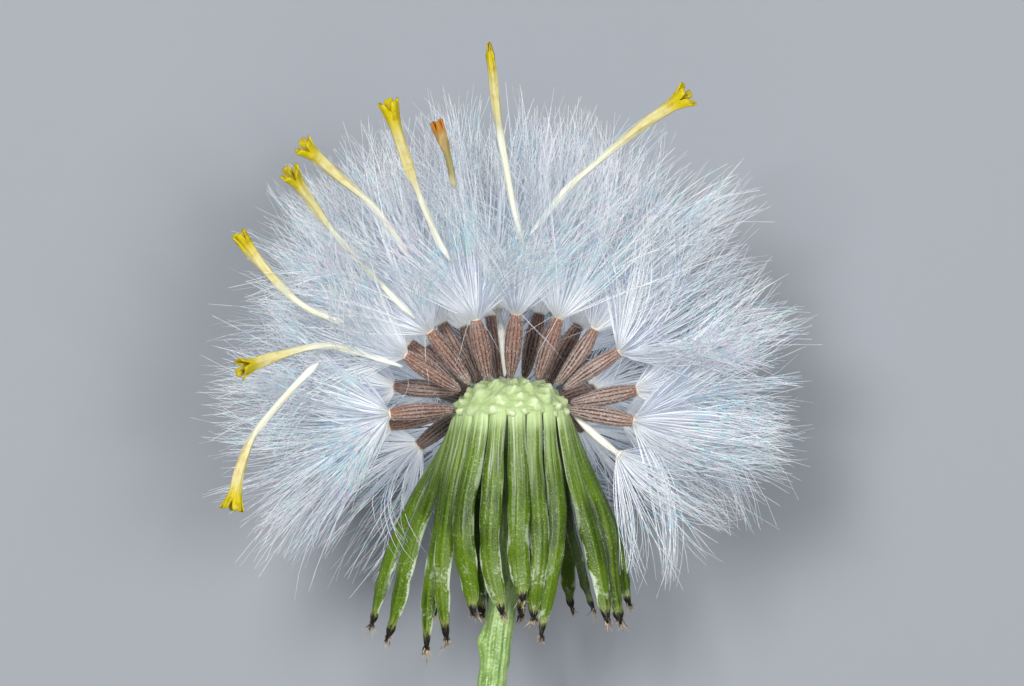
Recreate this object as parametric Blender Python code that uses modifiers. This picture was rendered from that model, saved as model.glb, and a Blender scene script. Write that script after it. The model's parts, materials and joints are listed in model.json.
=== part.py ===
"""Seed head of groundsel, Senecio vulgaris, cut with a short stem and laid on its side.

The head's axis runs along +Y and its stem points along -Y. The head rests on the hair tufts of
its lower side, which a flat surface presses flat. Lengths are in metres and angles in degrees.
Inside the head, "across" is X, "along" is Y and "depth" is Z, all from the middle of the
receptacle, and a polar angle is measured from the head's axis.
"""

import math

import bmesh
import bpy
from mathutils import Matrix, Vector

MM = 0.001

# Head
AXIS_HEIGHT = 8.5 * MM      # from the surface to the head's axis
GAP = 0.04 * MM             # left between neighbouring pieces

# Receptacle and stem
RIM_RADIUS = 2.1 * MM       # circle on which the outermost seeds stand
DOME_TOP = 0.86 * MM
DOME_FALL = 1.2 * MM        # from the dome's top to its rim
DOME_CURVE = 1.6
DOME_SPREAD = 1.3           # how much faster the dome widens than its polar angle
RIM_UNDERCUT = 0.3 * MM
BASE_NARROWING = 1.5 * MM   # length over which the receptacle narrows to the stem
STEM_RADIUS = 0.5 * MM
STEM_ROUTE = [(0.0, -0.6), (-0.1, -3.0), (-0.15, -5.7), (-0.45, -8.0), (-0.72, -10.2), (-0.9, -11.9)]

# Seeds: a ribbed achene that carries a tuft of hairs
ACHENE_LENGTH = 2.45 * MM
ACHENE_RADIUS = 0.3 * MM
ABORTED_THINNESS = 0.5      # radius of an unfilled achene against a ripe one
ACHENE_PROFILE = [(1.0, 0.5), (0.9, 0.66), (0.6, 0.98), (0.3, 0.94), (0.08, 0.6), (0.0, 0.4)]
TUFT_LENGTH = 6.0 * MM      # at the sides of the head
TUFT_LONGER = 1.0 * MM      # how much longer the tufts are at its top
TUFT_HALF_ANGLE = 18
TUFT_OVERLAP = 0.08 * MM    # how far a tuft's root reaches into its achene

# Bracts: narrow leaves bent back around the stem
BRACT_CIRCLE = 1.88 * MM
BRACT_TOP = -0.44 * MM
BRACT_HALF_WIDTH = 0.295 * MM
BRACT_HALF_THICKNESS = 0.09 * MM
BRACT_SWELL = 0.3           # how much wider a bract is along its middle than at its foot
BRACT_TAPER = 0.7           # share of its width that a bract loses over its tip
BRACT_TIP = 0.2             # share of a bract's length that its tip takes
BRACT_TWIST = 0.6           # how far a bract at the side turns its face to the front
BRACT_TWIST_REACH = math.radians(115)
BRACT_STEPS = 8

# Withered florets
TUBE_RADIUS = 0.1 * MM
LIMB_RADIUS = 0.23 * MM
LIMB_SHARE = 0.38           # share of a floret's length that its wider limb takes

COLOURS = {
    "green stem": (0.30, 0.45, 0.12),
    "bract green": (0.20, 0.42, 0.06),
    "ripe seed": (0.62, 0.55, 0.50),
    "aborted seed": (0.86, 0.84, 0.72),
    "withered floret": (0.88, 0.70, 0.16),
}

# Each seed that shows: across, depth, fan angle to the right, lean towards the front
FRONT_SEEDS = [
    (-1.60, -1.32, -127, -25), (-2.05, -0.20, -104, -6), (-2.00, 0.50, -94, 9),
    (-1.95, -0.55, -85, -20), (-1.85, 0.65, -57, 13), (-1.90, -0.10, -48, -5),
    (-1.50, 0.50, -37, 9), (-1.30, -0.25, -30, -8), (-1.15, -1.15, -15, -28),
    (-0.85, 0.80, -11, 20), (-0.45, -0.85, -8, -20), (-0.25, 0.00, -6, -1),
    (-0.05, 0.75, 5, 16), (0.45, -0.50, 13, -13), (0.90, 0.60, 19, 11),
    (1.30, -0.60, 28, -16), (1.60, 0.20, 34, 3), (1.85, 0.45, 56, 8),
    (2.10, -0.10, 79, -3), (2.00, 0.55, 100, 9), (1.85, -0.90, 100, -24),
    (2.05, 0.10, 132, 4),
]
ABORTED_SEEDS = (12, 22)

# Seeds of the far side: polar angle of the row, then the angles around the head's axis
BACK_SEEDS = [(52, (218, 260, 304)), (79, (232, 268, 311)), (107, (244, 276, 305))]

# Each bract: across and depth halfway down, then across, along and depth of the tip
BRACTS = [
    (3.30, 0.40, 3.85, -8.0, 0.5), (2.78, 1.15, 3.40, -7.9, 1.2), (1.60, 1.75, 1.00, -8.4, 1.9),
    (0.95, 2.05, 0.80, -7.8, 2.1), (0.26, 2.32, 0.32, -7.1, 2.4), (-0.82, 2.10, -0.35, -7.6, 2.2),
    (-1.75, 1.90, -1.30, -7.6, 1.8), (-2.40, 1.40, -2.36, -8.5, 1.4), (-2.65, 0.75, -3.07, -8.9, 0.8),
    (-3.40, 0.12, -4.50, -8.6, 0.0), (-4.00, -0.55, -5.07, -8.1, -0.5), (-2.30, -1.60, -2.80, -7.8, -2.1),
    (-1.30, -1.60, -1.10, -7.8, -1.2), (-0.60, -2.30, -0.80, -7.9, -2.6), (0.30, -2.20, 0.36, -7.9, -1.9),
    (1.10, -2.20, 1.20, -8.0, -2.5), (1.90, -1.90, 2.20, -7.6, -2.4), (2.15, -1.10, 2.96, -7.6, -1.4),
    (3.60, -0.50, 4.20, -7.4, -0.8),
]
BRACT_MIDDLE = -4.6 * MM

# Each floret: its depth at the open end and at the thin end, then its route (across, along)
FLORETS = [
    (6.5, 4.2, [(-0.79, 12.29), (-0.53, 10.19), (-0.38, 9.15), (0.0, 7.03), (0.45, 5.29)]),
    (6.4, 4.1, [(-4.26, 10.27), (-3.59, 8.16), (-3.17, 7.01), (-2.64, 5.76), (-2.16, 4.9)]),
    (6.35, 5.85, [(-2.57, 9.59), (-2.18, 8.34), (-1.99, 7.38)]),
    (4.6, 2.75, [(-7.23, 8.89), (-6.17, 7.94), (-4.91, 6.87), (-4.18, 5.91), (-3.6, 4.93)]),
    (4.8, 2.2, [(-7.71, 7.91), (-6.95, 6.86), (-5.99, 5.6), (-4.39, 3.85), (-3.41, 2.87)]),
    (5.0, 3.9, [(-9.46, 5.75), (-8.5, 4.49), (-7.43, 3.42), (-6.46, 2.94), (-5.88, 2.75)]),
    (4.8, 2.4, [(-9.37, 1.17), (-8.23, 1.57), (-6.78, 1.92), (-5.62, 1.77), (-3.85, 1.19)]),
    (4.2, 3.6, [(-9.79, -3.67), (-9.41, -2.06), (-8.83, -0.88), (-7.46, 0.69), (-6.78, 1.33)]),
    (6.0, 3.8, [(6.02, 10.58), (4.57, 9.63), (3.03, 8.39), (1.86, 7.34), (0.59, 5.79)]),
]


def clear_scene():
    for item in list(bpy.data.objects):
        bpy.data.objects.remove(item, do_unlink=True)


def new_collection(name):
    collection = bpy.data.collections.new(name)
    bpy.context.scene.collection.children.link(collection)
    return collection


def material(name, roughness=0.7):
    found = bpy.data.materials.get(name)
    if found:
        return found
    made = bpy.data.materials.new(name)
    made.use_nodes = True
    shader = made.node_tree.nodes["Principled BSDF"]
    shader.inputs["Base Color"].default_value = (*COLOURS[name], 1)
    shader.inputs["Roughness"].default_value = roughness
    shader.inputs["Metallic"].default_value = 0
    return made


def smooth_route(points, count):
    """Evenly numbered points on a smooth curve through the given ones."""
    ends = [2 * points[0] - points[1], *points, 2 * points[-1] - points[-2]]
    route = []
    for step in range(count):
        place = step / (count - 1) * (len(points) - 1)
        first = min(int(place), len(points) - 2)
        t = place - first
        a, b, c, d = ends[first:first + 4]
        route.append(0.5 * ((2 * b) + (c - a) * t + (2 * a - 5 * b + 4 * c - d) * t ** 2
                            + (3 * b - a - 3 * c + d) * t ** 3))
    return route


def route_curve(name, points, radii, tilts=None):
    curve = bpy.data.curves.new(name, "CURVE")
    curve.dimensions = "3D"
    curve.twist_mode = "Z_UP"
    curve.use_fill_caps = True
    spline = curve.splines.new("POLY")
    spline.points.add(len(points) - 1)
    for node, point, radius, tilt in zip(spline.points, points, radii, tilts or [0.0] * len(points)):
        node.co = (*point, 1)
        node.radius = radius
        node.tilt = tilt
    spline.use_smooth = True
    return curve


def oval_section(name, half_width, half_thickness, collection, sides=8):
    """Closed outline that a bract's curve carries along its route."""
    curve = bpy.data.curves.new(name, "CURVE")
    curve.dimensions = "2D"
    spline = curve.splines.new("POLY")
    spline.points.add(sides - 1)
    for index, node in enumerate(spline.points):
        turn = -2 * math.pi * index / sides
        node.co = (half_width * math.cos(turn), half_thickness * math.sin(turn), 0, 1)
    spline.use_cyclic_u = True
    section = bpy.data.objects.new(name, curve)
    section.hide_render = True
    section.display_type = "WIRE"
    collection.objects.link(section)
    return section


def turned(name, profile, steps):
    """Mesh whose open profile of (radius, height) points runs from top to bottom, with a Screw."""
    mesh = bpy.data.meshes.new(name)
    mesh.from_pydata([(radius, 0, height) for radius, height in profile],
                     [(i, i + 1) for i in range(len(profile) - 1)], [])
    item = bpy.data.objects.new(name, mesh)
    screw = item.modifiers.new("turn", "SCREW")
    screw.axis = "Z"
    screw.steps = steps
    screw.render_steps = steps
    screw.use_merge_vertices = True
    screw.merge_threshold = 1e-6
    screw.use_smooth_shade = True
    return item


def join_to(item, other):
    union = item.modifiers.new("join", "BOOLEAN")
    union.operation = "UNION"
    union.object = other
    union.solver = "EXACT"


def dome_point(polar):
    """Radius and height of the receptacle's seed-bearing face at a polar angle."""
    polar = min(polar, 90)
    radius = RIM_RADIUS * math.sin(min(math.radians(polar) * DOME_SPREAD, math.pi / 2))
    return radius, DOME_TOP - DOME_FALL * (polar / 90) ** DOME_CURVE


def dome_polar(radius):
    """Polar angle at which the dome has reached a radius."""
    return math.degrees(math.asin(min(radius / RIM_RADIUS, 1)) / DOME_SPREAD)


def make_stem(collection, cutters, root):
    """Receptacle and stem, which grew as one piece."""
    top = [dome_point(polar) for polar in range(0, 91, 15)]
    profile = [(max(radius - GAP, 0), height - GAP) for radius, height in top]
    rim_bottom = profile[-1][1]
    profile.append((RIM_RADIUS - RIM_UNDERCUT, rim_bottom - GAP))
    profile.append((STEM_RADIUS * 1.4, rim_bottom - 0.7 * BASE_NARROWING))
    profile.append((0, rim_bottom - BASE_NARROWING))
    receptacle = turned("stem", profile, 24)
    receptacle.rotation_euler = (math.radians(-90), 0, 0)

    route = smooth_route([Vector((x, y, 0)) * MM for x, y in STEM_ROUTE], 12)
    curve = route_curve("stem_route", route, [1.0] * len(route))
    curve.bevel_depth = STEM_RADIUS
    curve.bevel_resolution = 3
    guide = bpy.data.objects.new("stem_guide", curve)
    cutters.objects.link(guide)
    evaluated = guide.evaluated_get(bpy.context.evaluated_depsgraph_get())
    mesh = bpy.data.meshes.new_from_object(evaluated)
    work = bmesh.new()
    work.from_mesh(mesh)
    bmesh.ops.remove_doubles(work, verts=work.verts, dist=1e-7)
    work.to_mesh(mesh)
    work.free()
    stalk = bpy.data.objects.new("stalk", mesh)
    stalk.matrix_world = guide.matrix_world
    bpy.data.objects.remove(guide)
    hide_cutter(stalk, cutters)
    stalk.parent = root

    join_to(receptacle, stalk)
    receptacle.data.materials.append(material("green stem"))
    place(receptacle, collection, root)


def hide_cutter(item, cutters):
    item.hide_render = True
    item.display_type = "WIRE"
    cutters.objects.link(item)


def place(item, collection, root):
    collection.objects.link(item)
    item.parent = root


def seed_places():
    """Root and direction of every seed, first those that show and then the far side's."""
    places = []
    for across, depth, fan, lean in FRONT_SEEDS:
        radius = math.hypot(across, depth) * MM
        on_rim = radius > 0.97 * RIM_RADIUS
        polar = max(dome_polar(radius), abs(fan)) if on_rim else dome_polar(radius)
        root = Vector((across * MM, dome_point(polar)[1], depth * MM))
        turn, rise = math.radians(fan), math.radians(lean)
        direction = Vector((math.sin(turn) * math.cos(rise), math.cos(turn) * math.cos(rise), math.sin(rise)))
        places.append((root, direction))
    for polar, angles in BACK_SEEDS:
        radius, height = dome_point(polar)
        for angle in angles:
            turn = math.radians(angle)
            around = Vector((math.cos(turn), 0, math.sin(turn)))
            direction = around * math.sin(math.radians(polar)) + Vector((0, math.cos(math.radians(polar)), 0))
            places.append((around * radius + Vector((0, height, 0)), direction))
    return places


def make_tuft(name, index, places):
    """Cone of hairs, cut flat halfway to each neighbouring tuft and at the resting surface."""
    root, direction = places[index]
    apex = root + direction * (ACHENE_LENGTH - TUFT_OVERLAP)
    length = TUFT_LENGTH + TUFT_LONGER * max(direction.y, 0) ** 2
    end_radius = length * math.tan(math.radians(TUFT_HALF_ANGLE))
    work = bmesh.new()
    bmesh.ops.create_cone(work, cap_ends=True, segments=12, depth=length,
                          radius1=ACHENE_RADIUS * 0.45, radius2=end_radius,
                          matrix=Matrix.Translation((0, 0, length / 2)))
    turn = direction.to_track_quat("Z", "Y").to_matrix().to_4x4()
    bmesh.ops.transform(work, matrix=Matrix.Translation(apex) @ turn, verts=work.verts)

    middle = apex + direction * TUFT_LENGTH / 2
    planes = [(Vector((0, 0, -AXIS_HEIGHT)), Vector((0, 0, -1)))]
    for other, (other_root, other_direction) in enumerate(places):
        if other == index:
            continue
        other_middle = other_root + other_direction * (ACHENE_LENGTH - TUFT_OVERLAP + TUFT_LENGTH / 2)
        away = other_middle - middle
        common = (direction + other_direction).normalized()
        away = (away - common * away.dot(common)).normalized()
        planes.append(((middle + other_middle) / 2 - away * GAP / 2, away))
    for point, normal in planes:
        cut = bmesh.ops.bisect_plane(work, geom=work.verts[:] + work.edges[:] + work.faces[:],
                                     dist=1e-8, plane_co=point, plane_no=normal, clear_outer=True)
        edges = [part for part in cut["geom_cut"] if isinstance(part, bmesh.types.BMEdge)]
        if edges:
            bmesh.ops.contextual_create(work, geom=edges)
    bmesh.ops.remove_doubles(work, verts=work.verts, dist=1e-6)
    bmesh.ops.recalc_face_normals(work, faces=work.faces)
    mesh = bpy.data.meshes.new(name)
    work.to_mesh(mesh)
    work.free()
    return bpy.data.objects.new(name, mesh)


def make_seeds(collection, cutters, root):
    places = seed_places()
    for index, (foot, direction) in enumerate(places):
        number = index + 1
        aborted = number in ABORTED_SEEDS
        girth = ACHENE_RADIUS * (ABORTED_THINNESS if aborted else 1)
        profile = [(0, ACHENE_LENGTH)]
        profile += [(girth * width, ACHENE_LENGTH * height) for height, width in ACHENE_PROFILE]
        profile.append((0, 0))
        seed = turned(f"seed_{number:02d}", profile, 10)
        seed.location = foot
        seed.rotation_euler = direction.to_track_quat("Z", "Y").to_euler()
        tuft = make_tuft(f"tuft_{number:02d}", index, places)
        hide_cutter(tuft, cutters)
        tuft.parent = root
        join_to(seed, tuft)
        seed.data.materials.append(material("aborted seed" if aborted else "ripe seed"))
        place(seed, collection, root)


def bract_girth(share):
    """Girth of a bract against its foot's, at a share of its length."""
    swell = 1 + BRACT_SWELL * math.sin(math.pi * min(share / (1 - BRACT_TIP / 2), 1))
    return swell * (1 - BRACT_TAPER * max((share - 1 + BRACT_TIP) / BRACT_TIP, 0) ** 2)


def make_bracts(collection, cutters, root):
    section = oval_section("bract_section", BRACT_HALF_WIDTH, BRACT_HALF_THICKNESS, cutters)
    for index, (mid_across, mid_depth, tip_across, tip_along, tip_depth) in enumerate(BRACTS):
        angle = 2 * math.pi * (index + 0.5) / len(BRACTS)
        foot = Vector((math.cos(angle) * BRACT_CIRCLE, BRACT_TOP, math.sin(angle) * BRACT_CIRCLE))
        middle = Vector((mid_across * MM, BRACT_MIDDLE, mid_depth * MM))
        tip = Vector((tip_across, tip_along, tip_depth)) * MM
        route = smooth_route([foot, middle, tip], BRACT_STEPS + 1)
        shares = [step / BRACT_STEPS for step in range(BRACT_STEPS + 1)]
        radii = [bract_girth(share) for share in shares]
        side = (angle + math.pi / 2) % (2 * math.pi) - math.pi
        twist = BRACT_TWIST if abs(side) < BRACT_TWIST_REACH else 0
        tilts = [side * (1 - twist * min(2 * share, 1)) for share in shares]
        curve = route_curve(f"bract_{index + 1:02d}", route, radii, tilts)
        curve.bevel_mode = "OBJECT"
        curve.bevel_object = section
        curve.materials.append(material("bract green", 0.45))
        place(bpy.data.objects.new(curve.name, curve), collection, root)


def make_florets(collection, root):
    for index, (open_depth, thin_depth, route) in enumerate(FLORETS):
        last = len(route) - 1
        points = [Vector((x, y, open_depth + (thin_depth - open_depth) * step / last)) * MM
                  for step, (x, y) in enumerate(route)]
        count = 11
        radii = []
        for step in range(count):
            share = step / (count - 1)
            blend = min(max((LIMB_SHARE - share) / (0.5 * LIMB_SHARE), 0), 1)
            radii.append((TUBE_RADIUS + (LIMB_RADIUS - TUBE_RADIUS) * blend) / TUBE_RADIUS)
        curve = route_curve(f"floret_{index + 1:02d}", smooth_route(points, count), radii)
        curve.bevel_depth = TUBE_RADIUS
        curve.bevel_resolution = 2
        curve.materials.append(material("withered floret"))
        place(bpy.data.objects.new(curve.name, curve), collection, root)


def stand_on_surface(collection, root):
    """Move the head so that the origin is under the middle of its bounding box."""
    bpy.context.view_layer.update()
    scene = bpy.context.evaluated_depsgraph_get()
    corners = []
    for item in collection.objects:
        evaluated = item.evaluated_get(scene)
        mesh = evaluated.to_mesh()
        corners += [evaluated.matrix_world @ vertex.co for vertex in mesh.vertices]
        evaluated.to_mesh_clear()
    low = [min(corner[axis] for corner in corners) for axis in range(3)]
    high = [max(corner[axis] for corner in corners) for axis in range(3)]
    root.location = (-(low[0] + high[0]) / 2, -(low[1] + high[1]) / 2, -low[2])


def main():
    clear_scene()
    collection = new_collection("groundsel_seed_head")
    cutters = new_collection("cutters_and_guides")
    root = bpy.data.objects.new("head", None)
    bpy.context.scene.collection.objects.link(root)
    make_stem(collection, cutters, root)
    make_seeds(collection, cutters, root)
    make_bracts(collection, cutters, root)
    make_florets(collection, root)
    stand_on_surface(collection, root)


main()
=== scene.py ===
import json
import math

import bmesh
import bpy
import numpy as np
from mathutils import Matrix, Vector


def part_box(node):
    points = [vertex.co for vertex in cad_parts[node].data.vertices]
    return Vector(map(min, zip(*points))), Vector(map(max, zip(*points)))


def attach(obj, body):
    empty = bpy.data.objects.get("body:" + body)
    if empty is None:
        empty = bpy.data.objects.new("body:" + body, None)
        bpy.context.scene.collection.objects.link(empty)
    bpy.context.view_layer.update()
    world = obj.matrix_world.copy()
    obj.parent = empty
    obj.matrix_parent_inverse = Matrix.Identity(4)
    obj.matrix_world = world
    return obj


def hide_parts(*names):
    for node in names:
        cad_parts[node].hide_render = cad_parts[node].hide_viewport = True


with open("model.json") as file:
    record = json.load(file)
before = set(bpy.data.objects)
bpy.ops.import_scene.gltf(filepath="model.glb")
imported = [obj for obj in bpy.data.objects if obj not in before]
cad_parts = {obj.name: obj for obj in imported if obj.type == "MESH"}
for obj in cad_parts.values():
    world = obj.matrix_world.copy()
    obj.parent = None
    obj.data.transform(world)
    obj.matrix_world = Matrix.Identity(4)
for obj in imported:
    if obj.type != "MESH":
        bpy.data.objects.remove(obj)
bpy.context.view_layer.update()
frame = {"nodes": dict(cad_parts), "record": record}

mm = 0.001
fullTurn = 2 * math.pi
goldenAngle = 2.39996  # steps of this many radians scatter points evenly around a circle
patterns = {"first": 62, "step": 3.7}  # each piece's pattern is taken a step further along the noise
madePieces = []
print("groundsel seed head: frame loaded")


def rgb(red, green, blue):  # a screen colour, 0 to 255, made linear
    return tuple(((c / 255 + 0.055) / 1.055) ** 2.4 for c in (red, green, blue)) + (1.0,)


def lengths(vectors):
    return np.linalg.norm(vectors, axis=-1)


def unit(vectors):  # each vector divided by its length
    return vectors / np.maximum(lengths(vectors)[..., None], 1e-12)


def angles(count):  # evenly spaced around a circle
    return np.linspace(0, fullTurn, count, endpoint=False)


def spline(points, places):
    # A Catmull-Rom curve through the points, with its ends held straight: each place, from 0 to 1, blends the
    # four nearest points by cubics.
    points = np.asarray(points, float)
    held = np.concatenate([[2 * points[0] - points[1]], points, [2 * points[-1] - points[-2]]])
    spot = np.clip(places, 0, 1) * (len(points) - 1)
    first = np.minimum(spot.astype(int), len(points) - 2)
    t = (spot - first).reshape(-1, *[1] * (points.ndim - 1))
    a, b, c, d = (held[first + step] for step in range(4))
    return 0.5 * (2 * b + (c - a) * t + (2 * a - 5 * b + 4 * c - d) * t ** 2 + (3 * b - a - 3 * c + d) * t ** 3)


def carry(path, side, across, up):
    # An outline carried along a path: path point + across * side + up * (tangent x side), with the side squared
    # to the path.
    tangent = unit(np.gradient(path, axis=-2))
    side = unit(side - (side * tangent).sum(-1, keepdims=True) * tangent)
    rise = np.cross(tangent, side)
    return path[..., None, :] + across[..., None] * side[..., None, :] + up[..., None] * rise[..., None, :]


def tubes(rings, poles, u, v):
    # Closed tubes: rings[tube, ring, corner], and poles[tube, 0 or 1] that close their ends with fans.
    # u[tube, corner + 1] runs around a tube and v[tube, ring + 2] along it, poles included.
    count, rows, corners = rings.shape[:3]
    row, corner = (grid.ravel() for grid in np.meshgrid(np.arange(rows - 1), np.arange(corners), indexing="ij"))
    after = (corner + 1) % corners
    quads = np.stack([row * corners + corner, row * corners + after,
                      (row + 1) * corners + after, (row + 1) * corners + corner], -1)
    c, n, last = np.arange(corners), (np.arange(corners) + 1) % corners, (rows - 1) * corners
    fans = np.concatenate([np.stack([c * 0 + rows * corners, n, c], -1),
                           np.stack([c * 0 + rows * corners + 1, last + c, last + n], -1)])
    base = np.arange(count)[:, None, None] * (rows * corners + 2)
    quadUv = np.stack([u[:, corner[:, None] + [0, 1, 1, 0]], v[:, row[:, None] + [1, 1, 2, 2]]], -1)
    middle = (u[:, c] + u[:, c + 1]) / 2
    fanU = np.concatenate([np.stack([middle, u[:, c + 1], u[:, c]], -1),
                           np.stack([middle, u[:, c], u[:, c + 1]], -1)], 1)
    ends = np.repeat([[0, 1, 1], [rows + 1, rows, rows]], corners, 0)
    return {"points": np.concatenate([rings.reshape(count, -1, 3), poles], 1).reshape(-1, 3),
            "quads": (base + quads).reshape(-1, 4), "fans": (base + fans).reshape(-1, 3),
            "quadUv": quadUv.reshape(-1, 2), "fanUv": np.stack([fanU, v[:, ends]], -1).reshape(-1, 2)}


def wholeMap(corners, rows, count=1):  # u and v for tubes whose maps run from 0 to 1 both ways
    along = np.concatenate([[0], np.linspace(0, 1, rows), [1]])
    return np.tile(np.linspace(0, 1, corners + 1), (count, 1)), np.tile(along, (count, 1))


def skin(rings, start, end):  # one closed tube
    rows, corners = rings.shape[:2]
    return tubes(rings[None], np.array([[start, end]]), *wholeMap(corners, rows))


def nodesNamed(word):
    return sorted(name for name in frame["nodes"] if name.startswith(word))


def nodePoints(name):  # a node's corners, each once, from a merged copy of its mesh
    merged = bmesh.new()
    merged.from_mesh(frame["nodes"][name].data)
    bmesh.ops.remove_doubles(merged, verts=merged.verts, dist=0.003 * mm)
    mesh = bpy.data.meshes.new("merged")
    merged.to_mesh(mesh)
    merged.free()
    points = np.empty(len(mesh.vertices) * 3)
    mesh.vertices.foreach_get("co", points)
    bpy.data.meshes.remove(mesh)
    return points.reshape(-1, 3)


def mainWay(points):  # the direction in which points are spread the furthest
    return np.linalg.svd(points - points.mean(0), full_matrices=False)[2][0]


def nodeRings(name, count):  # a node's rings of corners along it, parted at the widest gaps
    points = nodePoints(name)
    reach = points @ mainWay(points)
    order = np.argsort(reach)
    gaps = np.argsort(np.diff(reach[order]))[1 - count:]
    return np.split(points[order], np.sort(gaps) + 1)


def addObject(name, data):
    made = bpy.data.objects.new(name, data)
    bpy.context.scene.collection.objects.link(made)
    return made


def addValues(mesh, name, values):  # a number at each corner, for the finish to read
    mesh.attributes.new(name, "FLOAT", "POINT").data.foreach_set("value", values)


def makePiece(name, shells, finishes, node, slot, bakeMap=False):
    # One mesh out of several shells. Each shell wears its own finish, or the last one where there are fewer.
    mesh = bpy.data.meshes.new(name)
    points, faces, maps, worn, start = [], [], [], [], 0
    for index, shell in enumerate(shells):
        for kind in ("quad", "fan"):
            corners = shell[kind + "s"] + start
            faces += corners.tolist()
            maps.append(shell[kind + "Uv"])
            worn += [min(index, len(finishes) - 1)] * len(corners)
        points.append(shell["points"])
        start += len(shell["points"])
    mesh.from_pydata(np.concatenate(points), [], faces)
    for mapName in ("skin", "OFBake") if bakeMap else ("skin",):
        mesh.uv_layers.new(name=mapName).uv.foreach_set("vector", np.concatenate(maps).ravel())
    mesh.polygons.foreach_set("use_smooth", np.ones(len(faces), bool))
    for finish in finishes:
        mesh.materials.append(finish)
    mesh.polygons.foreach_set("material_index", worn)
    addValues(mesh, "sort", np.full(start, patterns["step"] * (patterns["first"] + len(madePieces))))
    mesh.update()
    piece = addObject(name, mesh)
    madePieces.append(piece)
    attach(piece, "root")
    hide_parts(node)
    return piece


class Socket:  # a shader socket that takes part in sums
    def __init__(self, finish, socket):
        self.finish, self.socket = finish, socket

    def __add__(self, other):
        return self.finish.maths("ADD", self, other)

    def __sub__(self, other):
        return self.finish.maths("SUBTRACT", self, other)

    def __mul__(self, other):
        return self.finish.maths("MULTIPLY", self, other)

    def __pow__(self, other):
        return self.finish.maths("POWER", self, other)

    __radd__, __rmul__ = __add__, __mul__


class Finish:  # a material under construction
    def __init__(self, name, sockets):
        self.material = bpy.data.materials.new(name)
        self.material.use_nodes = True
        self.tree = self.material.node_tree
        self.shader = self.tree.nodes["Principled BSDF"]
        self.set(sockets)

    def set(self, sockets):  # sets or links the shader's own sockets
        for name, value in sockets.items():
            self.give(self.shader.inputs[name], value)

    def give(self, socket, value):
        if isinstance(value, Socket):
            self.tree.links.new(value.socket, socket)
        else:
            socket.default_value = value

    def node(self, kind, settings, values, output=0):
        made = self.tree.nodes.new(kind)
        for name, value in settings.items():
            setattr(made, name, value)
        for name, value in values.items():
            self.give(made.inputs[name], value)
        return Socket(self, made.outputs[output])

    def maths(self, operation, *values):
        return self.node("ShaderNodeMath", {"operation": operation}, dict(enumerate(values)))

    def mix(self, factor, first, second):
        return self.node("ShaderNodeMix", {"data_type": "RGBA"}, {0: factor, 6: first, 7: second}, 2)

    def ramp(self, factor, *stops):  # the colours of its stops, blended in between
        made = self.node("ShaderNodeValToRGB", {}, {0: factor})
        elements = made.socket.node.color_ramp.elements
        while len(elements) < len(stops):
            elements.new(1)
        for element, (place, colour) in zip(elements, stops):
            element.position, element.color = place, colour
        return made

    def step(self, value, low, high):  # rises smoothly from 0 at low to 1 at high
        smooth = {"interpolation_type": "SMOOTHSTEP"}
        return self.node("ShaderNodeMapRange", smooth, {0: value, 1: low, 2: high})

    def around(self):  # the skin map: its vector, u around the piece and v along it
        place = self.node("ShaderNodeUVMap", {"uv_map": "skin"}, {})
        return place, *(self.node("ShaderNodeSeparateXYZ", {}, {0: place}, axis) for axis in (0, 1))

    def carried(self, name):  # a number that the piece holds at each corner
        return self.node("ShaderNodeAttribute", {"attribute_name": name}, {}, "Fac")

    def sorted(self, u, v):  # the skin map with the piece's own number as its third axis
        return self.node("ShaderNodeCombineXYZ", {}, {"X": u, "Y": v, "Z": self.carried("sort")})

    def inside(self):  # object coordinates
        return self.node("ShaderNodeTexCoord", {}, {}, "Object")

    def stretched(self, place, scale):  # a pattern's vector, scaled along each axis
        return self.node("ShaderNodeMapping", {"vector_type": "POINT"}, {"Vector": place, "Scale": scale})

    def noise(self, place, scale, detail):
        return self.node("ShaderNodeTexNoise", {}, {"Vector": place, "Scale": scale, "Detail": detail})

    def streaks(self, place, scale, detail):  # noise with its own scale along each axis
        return self.noise(self.stretched(place, scale), 1, detail)

    def spots(self, place, scale):  # distance to the nearest of many scattered points
        return self.node("ShaderNodeTexVoronoi", {}, {"Vector": place, "Scale": scale})

    def bump(self, height, depth):
        values = {"Strength": 1, "Distance": depth, "Height": height}
        self.set({"Normal": self.node("ShaderNodeBump", {}, values)})


# The head's own middle, from the frame.
headTop = 0.82 * mm
stemLow, stemHigh = (np.array(corner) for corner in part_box("stem"))
headCentre = np.array([(stemLow[0] + stemHigh[0]) / 2, stemHigh[1] - headTop, (stemLow[2] + stemHigh[2]) / 2])

view = {"lens": 200, "film": 36, "width": 36.57 * mm, "ahead": 2.033 * mm, "near": 0.001, "far": 10}
lamps = {
    "key": {"place": (-0.08, 0.07, 0.26), "size": 0.07, "power": 0.58},
    "fill": {"place": (0.10, 0.02, 0.25), "size": 0.08, "power": 0.34},
    "low": {"place": (0.0, -0.22, 0.16), "size": 0.16, "power": 0.06},
}
daylight = {"Color": (0.93, 0.96, 1.0, 1.0), "Strength": 0.26}
ground = {"width": 0.9, "finish": {"Base Color": rgb(148, 152, 158), "Roughness": 0.9}}


def makeCamera():  # straight above the head: height = width seen * lens / film
    lens = bpy.data.cameras.new("view")
    lens.lens, lens.clip_start, lens.clip_end = view["lens"], view["near"], view["far"]
    camera = addObject("view", lens)
    camera.location = (headCentre[0], headCentre[1] + view["ahead"],
                       headCentre[2] + view["width"] * view["lens"] / view["film"])
    bpy.context.scene.camera = camera
    bpy.context.scene.view_settings.view_transform = "Standard"


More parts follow.
